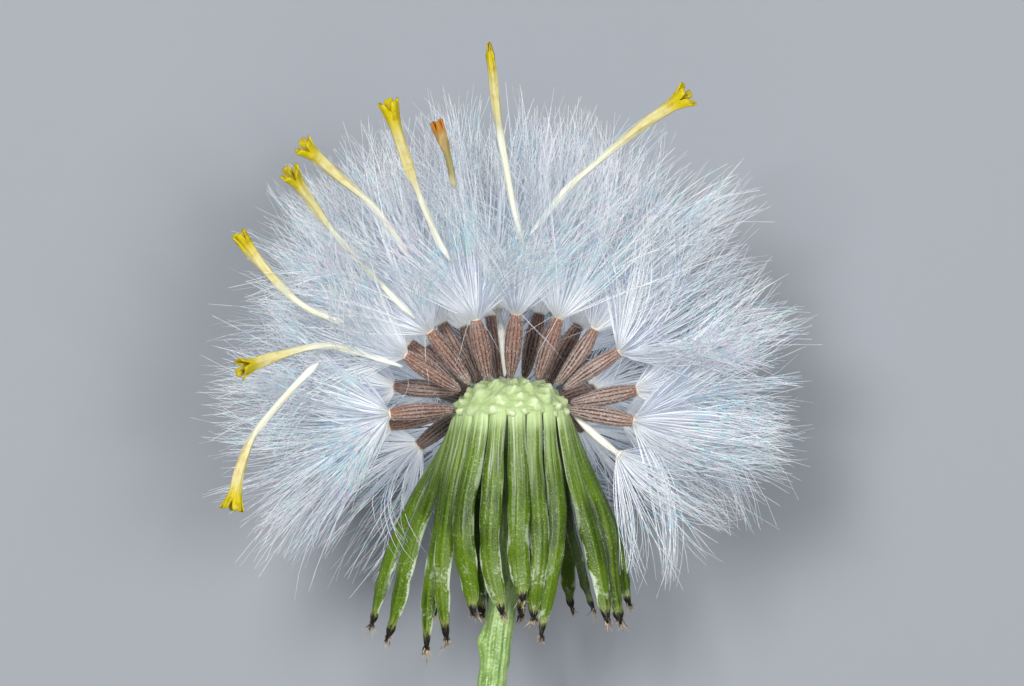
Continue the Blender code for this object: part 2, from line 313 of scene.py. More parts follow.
def makeLight():  # round lamps that look at the origin, and an even pale sky
    for lampName, lamp in lamps.items():
        light = bpy.data.lights.new(lampName, "AREA")
        light.shape, light.size, light.energy = "DISK", lamp["size"], lamp["power"]
        holder = addObject(lampName, light)
        holder.location = lamp["place"]
        holder.rotation_euler = (-holder.location).to_track_quat("-Z", "Y").to_euler()
    world = bpy.data.worlds.new("studio")
    world.use_nodes = True
    for name, value in daylight.items():
        world.node_tree.nodes["Background"].inputs[name].default_value = value
    bpy.context.scene.world = world


def makeFloor():  # a plain square around the origin
    half = ground["width"] / 2
    mesh = bpy.data.meshes.new("floor")
    corners = [(-half, -half, 0), (half, -half, 0), (half, half, 0), (-half, half, 0)]
    mesh.from_pydata(corners, [], [(0, 1, 2, 3)])
    mesh.materials.append(Finish("floor", ground["finish"]).material)
    addObject("floor", mesh)


makeCamera()
makeLight()
makeFloor()
print("camera, lamps and floor ready")


# The receptacle and stem grew as one. Heights run along the head's axis, from its middle.
stem = {
    "corners": 200, "domeRows": 62, "stalkRows": 110, "stalkRadius": 0.5 * mm, "neck": 2.2 * mm,
    "stalkFrom": 1.2 * mm, "ringGap": 0.35 * mm,
    "outline": [(0.02, 0.72), (0.5, 0.7), (0.95, 0.63), (1.35, 0.47), (1.68, 0.21), (1.92, -0.06), (2.05, -0.3),
                (2.04, -0.46), (1.8, -0.6), (1.3, -0.95), (0.86, -1.35), (0.6, -1.75), (0.52, -2.2)],  # in mm
    "bumps": 56, "bumpHeight": 0.21 * mm, "bumpShake": 0.14, "bumpReach": 1.1, "bumpsEnd": 15, "bumpsFade": 11,
    "granules": 0.02 * mm, "ribs": 9, "ribDepth": 0.022 * mm, "waves": 9, "waveDepth": 0.008 * mm,
    "bulge": 0.2 * mm, "bulgeAt": 8.7 * mm, "bulgeLength": 0.55 * mm,
    "cutRings": [(0.02, -0.006), (0.08, -0.002), (0.2, 0.012), (0.34, 0.03), (0.55, 0.05), (0.8, 0.055)],
    "grain": 9000, "mottle": 2600, "specks": 15000, "vessels": 13, "relief": 0.02 * mm,
    "head": rgb(188, 206, 152), "headShade": rgb(176, 197, 134), "tip": rgb(206, 218, 178),
    "areole": rgb(206, 178, 140), "stem": rgb(146, 178, 98), "stemPale": rgb(182, 200, 140),
    "stemDeep": rgb(112, 150, 64), "glintSpeck": rgb(226, 234, 206), "pith": rgb(222, 226, 200),
}


def stemFinish():
    # Pale head, darker between its bumps as painted shade and paler on their tips as painted light, with
    # brownish scars; mottled green stem; pale specks of painted highlight all over; and at the cut a ring of
    # green vessels around pale pith.
    look = Finish("green stem", {"Specular IOR Level": 0.8, "Subsurface Weight": 0.7,
                                 "Subsurface Scale": 0.3 * mm, "Subsurface Radius": (0.8, 1.0, 0.5)})
    _, u, _ = look.around()
    inside = look.inside()
    grain = look.noise(inside, stem["grain"], 3)
    mottle = look.noise(look.stretched(inside, (1, 0.45, 1)), stem["mottle"], 3)
    tips = look.carried("bump")
    # painted shade: darker between the bumps, where they sink
    head = look.mix(look.step(tips + (grain - 0.5) * 0.4, 0.0, 0.6), stem["headShade"], stem["head"])
    # painted light: paler on the bump tips
    head = look.mix(look.step(tips, 0.5, 0.9) * 0.8, head, stem["tip"])
    head = look.mix(look.step(tips, 0.86, 0.97) * look.step(mottle, 0.5, 0.6) * 0.5, head, stem["areole"])
    head = look.mix(look.step(grain, 0.55, 0.8) * 0.35, head, stem["tip"])
    stalk = look.mix(look.step(mottle, 0.3, 0.7), stem["stemDeep"], stem["stem"])
    stalk = look.mix(look.step(grain + mottle * 0.6, 0.7, 1.1) * 0.7, stalk, stem["stemPale"])
    colour = look.mix(look.step(look.carried("downward"), 0.9, 1.3), head, stalk)
    # painted highlights: pale glint specks over head and stem
    specks = look.step(look.noise(inside, stem["specks"], 2), 0.6, 0.7)
    colour = look.mix(specks * 0.45, colour, stem["glintSpeck"])
    cut = look.carried("cut")
    vessels = look.maths("COSINE", u * (fullTurn * stem["vessels"])) * look.step(cut, 0.1, 0.2)
    vessels = vessels * look.step(cut, 0.42, 0.3)
    colour = look.mix(look.step(cut, 0.03, 0.08), colour, stem["stemPale"])
    colour = look.mix(look.step(vessels, 0.2, 0.7) * 0.8, colour, stem["stemDeep"])
    colour = look.mix(look.step(cut + (grain - 0.5) * 0.1, 0.36, 0.46), colour, stem["pith"])
    look.set({"Base Color": colour, "Roughness": 0.2 + 0.36 * mottle})
    look.bump(grain + 0.5 * mottle + 0.3 * look.spots(inside, stem["grain"]), stem["relief"])
    return look.material


def stemLine():
    # The middles and radii of the rings: the dome's outline, then the stalk's route through the frame's rings.
    points = nodePoints("stem")
    low = points[points[:, 1] < headCentre[1] - stem["neck"]]
    low = low[np.argsort(-low[:, 1])]
    groups = np.split(low, np.flatnonzero(-np.diff(low[:, 1]) > stem["ringGap"]) + 1)
    route = np.array([group.mean(0) for group in groups])
    dome = spline(np.array(stem["outline"]) * mm, np.linspace(0, 1, stem["domeRows"]))
    stalk = spline(route, np.linspace(0, 1, stem["stalkRows"]))
    centres = np.concatenate([headCentre + dome[:, 1:] * [0, 1, 0], stalk])
    return centres, np.concatenate([dome[:, 0], np.full(len(stalk), stem["stalkRadius"])])


def stemRadii(turn, depth, radii, rng):
    # Radius = the line's, and on the stalk also rib depth * waves of the angle, a bell-shaped bulge on one
    # side, and a few fine waves that wind around it.
    turn, depth = turn[None], depth[:, None]
    onStalk = np.clip((depth - stem["stalkFrom"]) / stem["stalkFrom"], 0, 1)
    swell = np.tile(radii[:, None], stem["corners"])
    fineRibs = 0.6 * np.sin(17 * turn + depth / (1.7 * mm))
    swell += onStalk * stem["ribDepth"] * (np.cos(stem["ribs"] * turn + 0.25 * np.sin(3 * turn)) + fineRibs)
    bell = np.exp(-((depth - stem["bulgeAt"]) / stem["bulgeLength"]) ** 2)
    swell += stem["bulge"] * bell * np.clip(-np.cos(turn), 0, 1) ** 1.5
    for _ in range(stem["waves"]):
        phase, wave = rng.uniform(0, fullTurn, 2)
        swell += onStalk * stem["waveDepth"] * np.sin(rng.integers(1, 6) * turn + phase
                                                      + depth / (rng.uniform(0.12, 0.7) * mm) + wave)
    return swell


def domeBumps(dome, middles, radii, rng):
    # Bump centres lie on a golden-angle spiral. Height = (second nearest - nearest) / their sum: 1 at a centre,
    # 0 halfway to a neighbour, so that the bumps are many-sided pyramids.
    rows = np.arange(len(dome))
    share = (np.arange(stem["bumps"]) + 0.5) / stem["bumps"]
    arc = np.concatenate([[0], np.cumsum(lengths(np.diff(dome[:, 0], axis=0)))])
    rimRow = int(np.argmax(radii))
    at = np.interp(np.sqrt(share) * arc[rimRow] * stem["bumpReach"], arc, rows)
    angle = np.arange(stem["bumps"]) * goldenAngle + rng.normal(0, stem["bumpShake"], stem["bumps"])
    radius = np.interp(at, rows, radii[rows])
    spots = np.stack([headCentre[0] + radius * np.cos(angle), np.interp(at, rows, middles[rows, 1]),
                      headCentre[2] - radius * np.sin(angle)], -1)
    gaps = np.sort(lengths(dome.reshape(-1, 1, 3) - spots[None]), axis=1)[:, :2]
    bump = ((gaps[:, 1] - gaps[:, 0]) / (gaps[:, 1] + gaps[:, 0])).reshape(dome.shape[:2])
    bump = 0.75 * bump + 0.25 * bump ** 2 * (3 - 2 * bump)
    fade = np.clip((rimRow + stem["bumpsEnd"] - rows) / stem["bumpsFade"], 0, 1)[:, None]
    return bump * fade, fade


def makeStem():
    # Rings around the line. The dome moves outwards by bump height * (bump - 0.3) + granules * waves, and the
    # cut end is the last ring drawn in towards its middle.
    rng = np.random.default_rng(3)
    middles, radii = stemLine()
    domeRows, turn = stem["domeRows"], angles(stem["corners"])
    depth = headCentre[1] - middles[:, 1]
    path = middles.copy()
    path[:domeRows, 1] = headCentre[1] + headTop - np.linspace(0, 1, domeRows) * (headTop + stem["neck"])
    side = np.tile([1.0, 0, 0], (len(middles), 1))
    swell = stemRadii(turn, depth, radii, rng)
    rings = carry(path, side, swell * np.cos(turn), swell * np.sin(turn))
    rings[:domeRows, :, 1] = middles[:domeRows, 1, None]  # the dome's rings lie square to the head's axis
    dome = rings[:domeRows]
    bump, fade = domeBumps(dome, middles, radii, rng)
    outward = unit(np.cross(np.roll(dome, -1, 1) - np.roll(dome, 1, 1), np.gradient(dome, axis=0)))
    rows = np.arange(domeRows)[:, None]
    grit = stem["granules"] * (np.sin(41 * turn + 3 * np.sin(rows * 1.7)) * np.cos(rows * 1.9)
                               + np.sin(23 * turn + 2 * np.sin(rows * 0.9)) * np.cos(rows * 1.1 + 2 * turn))
    dome += outward * (bump * stem["bumpHeight"] - 0.3 * stem["bumpHeight"] * fade + grit * fade)[..., None]
    end, forward = path[-1], unit(path[-1] - path[-2])
    inward, sink = np.array(stem["cutRings"]).T[:, :, None, None]
    cut = end + (rings[-1] - end) * (1 - inward) - forward * sink * mm
    shell = skin(np.concatenate([rings, cut]), rings[0].mean(0), cut[-1].mean(0))
    piece = makePiece("stem_and_receptacle", [shell], [stemFinish()], "stem", "green_stem")
    beyond = np.zeros((len(rings) - domeRows + len(cut), stem["corners"]))
    downward = np.append(depth, np.full(len(cut), depth[-1])) / mm
    drawnIn = np.append(np.zeros(len(rings)), inward)
    addValues(piece.data, "bump", np.append(np.concatenate([bump, beyond]), [0.2, 0]))
    addValues(piece.data, "downward", np.append(np.repeat(downward, stem["corners"]), [-0.8, 12]))
    addValues(piece.data, "cut", np.append(np.repeat(drawnIn, stem["corners"]), [0, 1]))


makeStem()
print("receptacle and stem made")


# Seeds: a ribbed achene that carries a tuft of hairs. Two of them never filled.
seedNames = nodesNamed("seed")
unfilled = [part["node"] for part in frame["record"]["subparts"] if part["material_slot"] == "aborted_seed"]

achene = {
    "length": 2.45 * mm, "radius": 0.31 * mm, "thin": 0.46, "corners": 52, "rows": 34, "reach": 2.35 * mm,
    "ribs": 13, "ribDepth": 0.045, "flat": 0.1, "bend": 0.07 * mm, "thinBend": 3,
    "outline": [(0, 0.22), (0.02, 0.34), (0.08, 0.5), (0.2, 0.72), (0.38, 0.93), (0.56, 1), (0.74, 0.94),
                (0.88, 0.74), (0.95, 0.6), (0.968, 0.55), (0.972, 0.62), (0.985, 0.66), (0.998, 0.62),
                (1, 0.45)],
    "fuzz": 480, "thinFuzz": 30, "fuzzRows": (3, 22), "fuzzLength": 0.13 * mm, "fuzzWidth": 0.011 * mm,
    "grain": (110, 52, 1), "thread": (90, 9, 1), "drift": (9, 4, 1), "flakes": (90, 60, 1),
    "paleGrain": (24, 14, 1), "specks": 12000, "relief": 0.014 * mm, "paleRelief": 0.01 * mm,
    "shoulderAt": (0.59, 0.69), "collarAt": (0.71, 0.735), "ridge": rgb(112, 57, 32),
    "ridgeDeep": rgb(70, 34, 22), "warm": rgb(142, 78, 42), "stripe": rgb(124, 101, 90),
    "greyStripe": rgb(158, 144, 136), "shoulder": rgb(210, 120, 54), "collar": rgb(242, 234, 214),
    "foot": rgb(190, 160, 110), "fuzzTone": rgb(210, 200, 193), "pale": rgb(242, 240, 232),
    "paleDeep": rgb(204, 198, 182),
}


def acheneRibs(look, around):  # a wave from 0 to 1 for each rib
    return look.maths("COSINE", around * (fullTurn * achene["ribs"])) * 0.5 + 0.5


def acheneFinish():
    # Grey-brown ribs, broken by threads and grain, with reddish brown between them. Pale flakes and specks, an
    # orange shoulder and a cream collar.
    look = Finish("ripe achene", {"Specular IOR Level": 0.3, "Sheen Weight": 0.2, "Sheen Roughness": 0.4})
    _, u, v = look.around()
    place = look.sorted(u, v)
    grain = look.streaks(place, achene["grain"], 3)
    thread = look.streaks(place, achene["thread"], 3)
    drift = look.streaks(place, achene["drift"], 2)
    wave = acheneRibs(look, u + (drift - 0.5) * 0.02)
    wave = wave + (grain - 0.5) * 1.1 + (thread - 0.5) * 1.8 + (drift - 0.5) * 0.8
    hairy = look.step(look.noise(look.inside(), 260, 1), 0.42, 0.58) * 0.6 + 0.4
    brown = look.mix(look.step(drift + (grain - 0.5) * 0.5, 0.35, 0.65), achene["ridgeDeep"], achene["ridge"])
    brown = look.mix(look.step(v + (drift - 0.5) * 0.3, 0.3, 0.62) * 0.6, brown, achene["warm"])
    grey = look.mix(hairy, achene["stripe"], achene["greyStripe"])
    greyShare = 0.66 + 0.3 * hairy - 0.34 * look.step(v, 0.4, 0.68)
    colour = look.mix(look.step(wave, 0.08, 0.6) * greyShare, brown, grey)
    flakes = look.step(look.spots(look.stretched(place, achene["flakes"]), 1), 0.26, 0.1)
    colour = look.mix(flakes * (0.1 + 0.45 * hairy), colour, achene["fuzzTone"])
    specks = look.step(look.noise(look.inside(), achene["specks"], 2), 0.55, 0.68)
    colour = look.mix(specks * (0.06 + 0.42 * hairy), colour, achene["fuzzTone"])
    colour = look.mix(look.step(v, 0.08, 0.0) * 0.8, colour, achene["foot"])
    shoulder = look.step(v + (grain - 0.5) * 0.1, *achene["shoulderAt"])
    colour = look.mix(shoulder * 0.9, colour, achene["shoulder"])
    colour = look.mix(look.step(v, *achene["collarAt"]), colour, achene["collar"])
    look.set({"Base Color": colour, "Roughness": 0.55 + 0.3 * wave})
    look.bump(wave * 0.4 + grain, achene["relief"])
    return look.material


def paleFinish():  # cream ribs, with grain, and the same collar
    look = Finish("unfilled achene", {"Specular IOR Level": 0.35})
    place, u, v = look.around()
    grain = look.streaks(place, achene["paleGrain"], 3)
    ribs = acheneRibs(look, u)
    colour = look.mix(look.step(ribs * 0.4 + grain, 0.35, 0.8), achene["paleDeep"], achene["pale"])
    colour = look.mix(look.step(v, *achene["collarAt"]), colour, achene["collar"])
    look.set({"Base Color": colour, "Roughness": 0.6})
    look.bump(grain + 0.5 * ribs, achene["paleRelief"])
    return look.material


def fuzzFinish():  # from the ribs' brown at the root to pale at the tip
    look = Finish("achene fuzz", {"Roughness": 0.6})
    _, _, v = look.around()
    look.set({"Base Color": look.mix(look.step(v, 0.0, 0.6), achene["stripe"], achene["fuzzTone"])})
    return look.material


def seedSlot(name):
    return "aborted_seed" if name in unfilled else "ripe_seed"


def seedPlace(name):  # a seed's foot and direction, from the corners of its lower part
    points = nodePoints(name)
    first = points[np.argmin(lengths(points - headCentre))]
    near = points[lengths(points - first) < achene["reach"]]
    axis = mainWay(near)
    axis = axis * np.sign((near.mean(0) - first) @ axis)
    reach = (near - near.mean(0)) @ axis
    return near[reach < reach.min() + 0.01 * mm].mean(0), axis


def acheneFuzz(rings, path, axis, count, rng):
    # Three-sided spikes on the ribs, spread between the rings. A spike's way = the axis + a little outwards + a
    # little of its own.
    look = achene
    row = rng.integers(*look["fuzzRows"], count)
    stripe = rng.integers(0, look["ribs"], count) * (look["corners"] // look["ribs"])
    corner = (stripe + rng.integers(-1, 2, count)) % look["corners"]
    along = (np.arange(count)[:, None] * 0.618) % 1
    root = rings[row, corner] * (1 - along) + rings[row + 1, corner] * along
    out = unit(root - path[row])
    lean = unit(axis + out * rng.uniform(0.12, 0.5, (count, 1)) + rng.normal(0, 0.12, (count, 3)))
    reach = look["fuzzLength"] * rng.uniform(0.5, 1.2, (count, 1))
    way = unit(np.cross(lean, out))[:, None, None]
    angle = angles(3)[:, None]
    around = way * np.cos(angle) + np.cross(lean[:, None, None], way) * np.sin(angle)
    poles = np.stack([root - lean * 0.01 * mm, root + lean * reach], 1)
    u, v = np.tile(np.linspace(0, 1, 4), (count, 1)), np.tile([0.0, 0.1, 1.0], (count, 1))
    return tubes(root[:, None, None] + look["fuzzWidth"] * around, poles, u, v)


def makeAchene(name, foot, axis, finishes, rng):
    # Radius = the outline's * (1 - rib depth * cosine of ribs * turn), around a line that is arched by a sine.
    # An unfilled achene is thin and more arched, and widens to its collar.
    look, thin = achene, name in unfilled
    outline = spline(look["outline"], np.linspace(0, 1, look["rows"] + 1))
    height, width = outline[:, :1], outline[:, 1:]
    bendWay = unit(np.cross(axis, rng.normal(0, 1, 3)))
    arch = np.sin(height * np.pi) * look["bend"] * rng.uniform(0.3, 1.2) * (look["thinBend"] if thin else 1)
    path = foot + axis * height * look["length"] + bendWay * arch
    turn = angles(look["corners"])
    body = np.clip((0.93 - height) / 0.1, 0, 1)
    radius = look["radius"] * (look["thin"] if thin else 1) * width
    radius = radius * (1 - look["ribDepth"] * body * np.cos(look["ribs"] * turn))
    if thin:
        radius += look["radius"] * 0.3 * np.clip((height - 0.9) / 0.07, 0, 1) ** 2
    side = np.tile(np.cross(axis, bendWay), (len(path), 1))
    rings = carry(path, side, radius * np.cos(turn), radius * (1 - look["flat"] * body) * np.sin(turn))
    shell = skin(rings, path[0] - axis * 0.02 * mm, path[-1] - axis * 0.01 * mm)
    fuzz = acheneFuzz(rings, path, axis, look["thinFuzz"] if thin else look["fuzz"], rng)
    makePiece(name.replace("seed", "achene"), [shell, fuzz], finishes, name, seedSlot(name))
    return path[-1]


pappus = {
    "hairs": 290, "sparse": {"seed_22": 120, "seed_12": 90, "seed_01": 170, "seed_21": 230}, "rings": 8,
    "width": 0.0195 * mm, "taper": ([0, 0.12, 0.5, 1], [0.75, 1.0, 0.9, 0.3]),
    "length": 6.45 * mm, "longer": 1.05 * mm,
    "shorter": {"seed_22": 5.4 * mm, "seed_01": 5.8 * mm, "seed_12": 5.0 * mm},
    "spread": 40,
    "wider": {"seed_01": 54, "seed_18": 58, "seed_22": 44, "seed_20": 56, "seed_03": 56, "seed_12": 34},
    "clumps": 13, "clumpSpread": 0.15, "clumping": 0.92, "loose": 0.1, "loosePull": 0.1,
    "reflexed": 0.005, "reflexedLength": 0.3, "reflexedWidth": 0.4,
    "bend": 0.2, "ownBend": 0.05, "wave": 0.06 * mm, "collar": 0.2 * mm, "above": (1.3, 14),
    "tones": 48, "flecks": 20, "shift": 0.04, "glow": 0.17,
    "white": rgb(253, 254, 255), "strandShade": rgb(120, 138, 172), "cyan": rgb(168, 236, 250),
    "pink": rgb(242, 200, 238), "green": rgb(188, 244, 212), "blue": rgb(182, 200, 255),
    "root": rgb(255, 253, 246), "light": rgb(236, 244, 255), "faint": rgb(140, 146, 154),
}


def pappusFinish():
    # Each hair's strip of the map is cut into short cells: white, a few of painted shade, and painted
    # iridescent glints in cyan, pink, green or blue. Some whole strips are darker, as painted shade between the
    # hairs. A little painted light of their own stands for what clear hairs pass on to each other.
    look = Finish("pappus hair", {"Roughness": 0.3, "Specular IOR Level": 0.6,
                                  "Emission Strength": pappus["glow"]})
    _, u, v = look.around()
    strip = look.maths("FLOOR", u * pappus["tones"])
    tone = look.node("ShaderNodeTexWhiteNoise", {"noise_dimensions": "1D"}, {"W": strip})
    cell = look.maths("FLOOR", v * pappus["flecks"] + tone * 7) + strip * 131
    fleck = look.node("ShaderNodeTexWhiteNoise", {"noise_dimensions": "1D"}, {"W": cell})
    # cells along each hair: painted iridescent glints in cyan, pink, green and blue, and some cells of painted
    # shade
    stops = ((0.0, "cyan"), (0.1, "cyan"), (0.16, "white"), (0.52, "white"), (0.62, "strandShade"), (0.72, "white"),
             (0.8, "pink"), (0.87, "white"), (0.93, "green"), (1.0, "blue"))
    glintAndShadeFlecks = look.ramp(fleck, *((stop, pappus[name]) for stop, name in stops))
    # painted shade: some whole strips darker, for the shade between the hairs
    plain = look.mix(tone ** 2, pappus["white"], pappus["strandShade"])
    region = look.step(look.noise(look.inside(), 330, 1), 0.38, 0.62)
    colour = look.mix(look.step(v, 0.1, 0.5) * (0.3 + 0.5 * region), plain, glintAndShadeFlecks)
    # painted light: the hairs glow with their own light, brightest towards the root
    look.set({"Base Color": look.mix(look.step(v, 0.1, 0.0) * 0.8, colour, pappus["root"]),
              "Emission Color": look.mix(look.step(v, 0.65, 0.1), pappus["faint"], pappus["light"])})
    return look.material


def layDown(path, lowest):
    # Each step that would end below the hair's lowest height is turned level, as long as before, so that the
    # hair lies along the floor.
    steps = np.diff(path, axis=1)
    for index in range(steps.shape[1]):
        step = steps[:, index].copy()
        drop = np.minimum(path[:, index, 2] + step[:, 2] - lowest, 0)
        step[:, 2] -= drop
        level = np.maximum(lengths(step[:, :2]), 1e-9)
        wanted = np.sqrt(np.maximum(lengths(steps[:, index]) ** 2 - step[:, 2] ** 2, 0))
        step[:, :2] *= np.where(drop < 0, wanted / level, 1)[:, None]
        path[:, index + 1] = path[:, index] + step


def makePappus(name, collar, axis, finish, rng):
    # A hair's path = root + length * s * (own way, turned to its clump's way by clumping * s^1.3, plus the
    # clump's bend * s + own bend * s^2) + waves * s. The clumps' ways lie on a golden-angle spiral.
    look, rings = pappus, pappus["rings"]
    count = look["sparse"].get(name, look["hairs"])
    spread = math.radians(look["wider"].get(name, look["spread"]))
    first = unit(np.cross(axis, [0.3, 0.2, 1.0]))
    second = np.cross(axis, first)
    number = np.arange(look["clumps"])
    tilt = (spread * np.sqrt((number + 0.4) / look["clumps"]) * rng.uniform(0.85, 1.08, len(number)))[:, None]
    turn = (number * goldenAngle + rng.normal(0, 0.25, len(number)))[:, None]
    clumpWay = np.cos(tilt) * axis + np.sin(tilt) * (np.cos(turn) * first + np.sin(turn) * second)
    clump = rng.integers(0, look["clumps"], count)
    own = unit(clumpWay[clump] + rng.normal(0, look["clumpSpread"], (count, 3)))
    reflexed = rng.uniform(0, 1, count) < look["reflexed"]
    own = np.where(reflexed[:, None], unit(own - 1.5 * axis * rng.uniform(0.6, 1.2, (count, 1))), own)
    loose = reflexed | (rng.uniform(0, 1, count) < look["loose"])
    pull = np.where(loose, look["loosePull"], look["clumping"] * rng.uniform(0.7, 1.15, count))[:, None, None]
    s = np.linspace(0, 1, rings + 1)[None, :, None]
    length = look["shorter"].get(name, look["length"] + look["longer"] * max(axis[1], 0) ** 2)
    length = length * np.clip(rng.normal(0.97, 0.06, count), 0.7, 1.08)[:, None, None]
    length = length * np.where(reflexed, look["reflexedLength"], 1)[:, None, None]
    length = length * rng.uniform(0.8, 1.06, len(number))[clump][:, None, None]
    bend = rng.normal(0, look["bend"], (len(number), 3))[clump][:, None]
    bend = bend * s + rng.normal(0, look["ownBend"], (count, 1, 3)) * s ** 2
    blend = pull * s ** 1.3
    way = unit(own[:, None] * (1 - blend) + clumpWay[clump][:, None] * blend + bend)
    waveWay, waveToo = (unit(rng.normal(0, 1, (count, 1, 3))) for _ in range(2))
    phase = rng.uniform(0, fullTurn, (count, 2, 1, 1))
    waves = waveWay * np.sin(7 * s + phase[:, 0]) + waveToo * np.sin(3.2 * s + phase[:, 1]) * 1.5
    aside = own - (own @ axis)[:, None] * axis
    aside = aside / np.maximum(lengths(aside)[:, None], 0.55)
    root = collar + look["collar"] * aside - axis * 0.03 * mm
    path = root[:, None] + length * s * way + look["wave"] * s * waves
    layDown(path, look["width"] * rng.uniform(*look["above"], count))
    taper = np.interp(np.linspace(0, 1, rings + 1), *look["taper"])
    radius = look["width"] * rng.uniform(0.75, 1.2, (count, 1, 1)) * taper[None, :, None]
    radius = radius * np.where(reflexed, look["reflexedWidth"], 1)[:, None, None]
    tangent = unit(np.gradient(path, axis=1))
    side = unit(np.cross(tangent, waveWay + 0.01 * waveToo))
    shape = carry(path, side, radius * np.cos(angles(3)), radius * np.sin(angles(3)))
    poles = np.stack([path[:, 0] - tangent[:, 0] * 0.01 * mm, path[:, -1] + tangent[:, -1] * 0.06 * mm], 1)
    poles[..., 2] = np.maximum(poles[..., 2], 0)
    strip = clump[:, None] * 5 + rng.integers(0, look["tones"]) + rng.integers(0, 2, (count, 1))
    u = (strip % look["tones"] + 0.15 + 0.7 * np.linspace(0, 1, 4)[None]) / look["tones"]
    v = np.tile(np.concatenate([[0], np.linspace(0.01, 0.98, rings + 1), [1]]), (count, 1))
    v = v + rng.uniform(-1, 1, (count, 1)) * look["shift"] * np.sin(np.pi * v)
    makePiece(name.replace("seed", "pappus"), [tubes(shape, poles, u, v)], [finish], name, seedSlot(name), True)


def makeSeeds():
    ripe, pale, fuzz, hair = acheneFinish(), paleFinish(), fuzzFinish(), pappusFinish()
    for number, name in enumerate(seedNames):
        rng = np.random.default_rng(100 + number)
        foot, axis = seedPlace(name)
        collar = makeAchene(name, foot, axis, [pale if name in unfilled else ripe, fuzz], rng)
        makePappus(name, collar, axis, hair, rng)


makeSeeds()
print("seeds made:", len(seedNames))


# Bracts: narrow leaves bent back around the stem.
bract = {
    "rows": 60, "corners": 34, "rooted": (0.02 * mm, 0.36 * mm), "footLift": 0.12 * mm,
    "thickness": 0.1 * mm, "keel": 0.045 * mm, "curl": 0.22, "wander": 0.05 * mm, "ruffle": 0.04 * mm,
    "width": (0.88, 1.08), "taper": ([0, 0.15, 0.9, 0.96, 1], [1.02, 1, 1, 0.95, 0.55]),
    "shreds": 12, "shredLength": 0.42 * mm, "shredWidths": [0.045, 0.042, 0.035, 0.028, 0.02, 0.008],  # in mm
    "grain": (40, 110, 1), "streak": (22, 1.6, 1), "patch": (4, 8, 1), "shine": (30, 2.4, 1), "own": 380,
    "paperySheen": 8000, "specks": 14000, "shredGrain": 5000, "relief": 0.025 * mm,
    "green": rgb(70, 96, 5), "deep": rgb(40, 60, 2), "ridgeTone": rgb(98, 124, 24),
    "pale": rgb(158, 182, 112), "root": rgb(180, 202, 140), "fresh": rgb(88, 116, 5),
    "margin": rgb(200, 210, 188), "yellow": rgb(164, 172, 96), "black": rgb(26, 20, 16),
    "glint": rgb(226, 238, 206), "tan": rgb(188, 168, 136),
}


def bractFinish():
    # Green with long streaks, each bract a little different, paler on its ridges and towards its foot, with
    # painted glints and glint specks, broken white margins, whitish patches that are partly papery skin and
    # partly painted wet sheen, and a black tip.
    look = Finish("bract green", {"Specular IOR Level": 0.24})
    _, u, v = look.around()
    place = look.sorted(u, v)
    inside = look.inside()
    grain = look.streaks(place, bract["grain"], 3)
    streak = look.streaks(place, bract["streak"], 3)
    patch = look.streaks(place, bract["patch"], 3)
    own = look.noise(inside, bract["own"], 1)
    ridge = look.carried("ridge")
    green = look.step(streak * 0.8 + ridge * 0.3 + patch * 0.4, 0.4, 0.95)
    colour = look.mix(green, bract["deep"], bract["green"])
    colour = look.mix(look.step(own + (patch - 0.5) * 0.4, 0.4, 0.62) * 0.7, colour, bract["fresh"])
    colour = look.mix(look.step(ridge + (streak - 0.5) * 1.4, 0.45, 1.0) * 0.65, colour, bract["ridgeTone"])
    colour = look.mix(look.step(v + (streak - 0.5) * 0.8, 0.28, 0.0) * 0.52, colour, bract["pale"])
    colour = look.mix(look.step(grain, 0.53, 0.7) * 0.1, colour, bract["pale"])
    colour = look.mix(look.step(v + (patch - 0.5) * 0.08, 0.09, 0.02) * 0.9, colour, bract["root"])
    # painted highlights: glossy wet streaks near the foot
    shine = look.step(look.streaks(place, bract["shine"], 2), 0.55, 0.68)
    shine = shine * look.step(v + (patch - 0.5) * 0.3, 0.36, 0.1)
    colour = look.mix(shine * 0.42, colour, bract["glint"])
    edge = look.maths("ABSOLUTE", look.maths("COSINE", u * fullTurn))
    white = look.step(edge + (grain - 0.5) * 0.4 + (patch - 0.5) * 1.1, 0.86, 1.04)
    white = white * (0.35 + 0.6 * look.step(v, 0.4, 0.7))
    colour = look.mix(white * 0.85, colour, bract["margin"])
    # whitish patches lower down: partly papery skin, partly painted wet sheen
    paperySheen = patch + (look.noise(inside, bract["paperySheen"], 3) - 0.5) * 0.7 + v * 0.25
    paperySheen = look.step(paperySheen, 0.78, 0.96) * look.step(v, 0.45, 0.8)
    colour = look.mix(paperySheen * 0.45, colour, bract["margin"])
    # painted highlights: small glint specks
    specks = look.step(look.noise(inside, bract["specks"], 2), 0.58, 0.72)
    specks = specks * look.step(patch + streak, 0.8, 1.15)
    colour = look.mix(specks * 0.28, colour, bract["glint"])
    colour = look.mix(look.step(v + (streak - 0.5) * 0.12, 0.88, 0.95) * 0.5, colour, bract["yellow"])
    tip = look.step(v + (grain - 0.5) * 0.08 + (streak - 0.5) * 0.1, 0.92, 0.95)
    colour = look.mix(tip, colour, bract["black"])
    look.set({"Base Color": colour, "Roughness": 0.16 + 0.26 * grain})
    look.bump(0.4 * grain + 0.6 * streak + patch + 0.2 * look.spots(inside, bract["specks"]), bract["relief"])
    return look.material


def shredFinish():  # black, with grains of tan towards the ends
    look = Finish("bract shred", {"Roughness": 0.6})
    _, _, v = look.around()
    grain = look.noise(look.inside(), bract["shredGrain"], 2)
    look.set({"Base Color": look.mix(look.step(grain + v * 0.35, 0.5, 0.85), bract["black"], bract["tan"])})
    return look.material


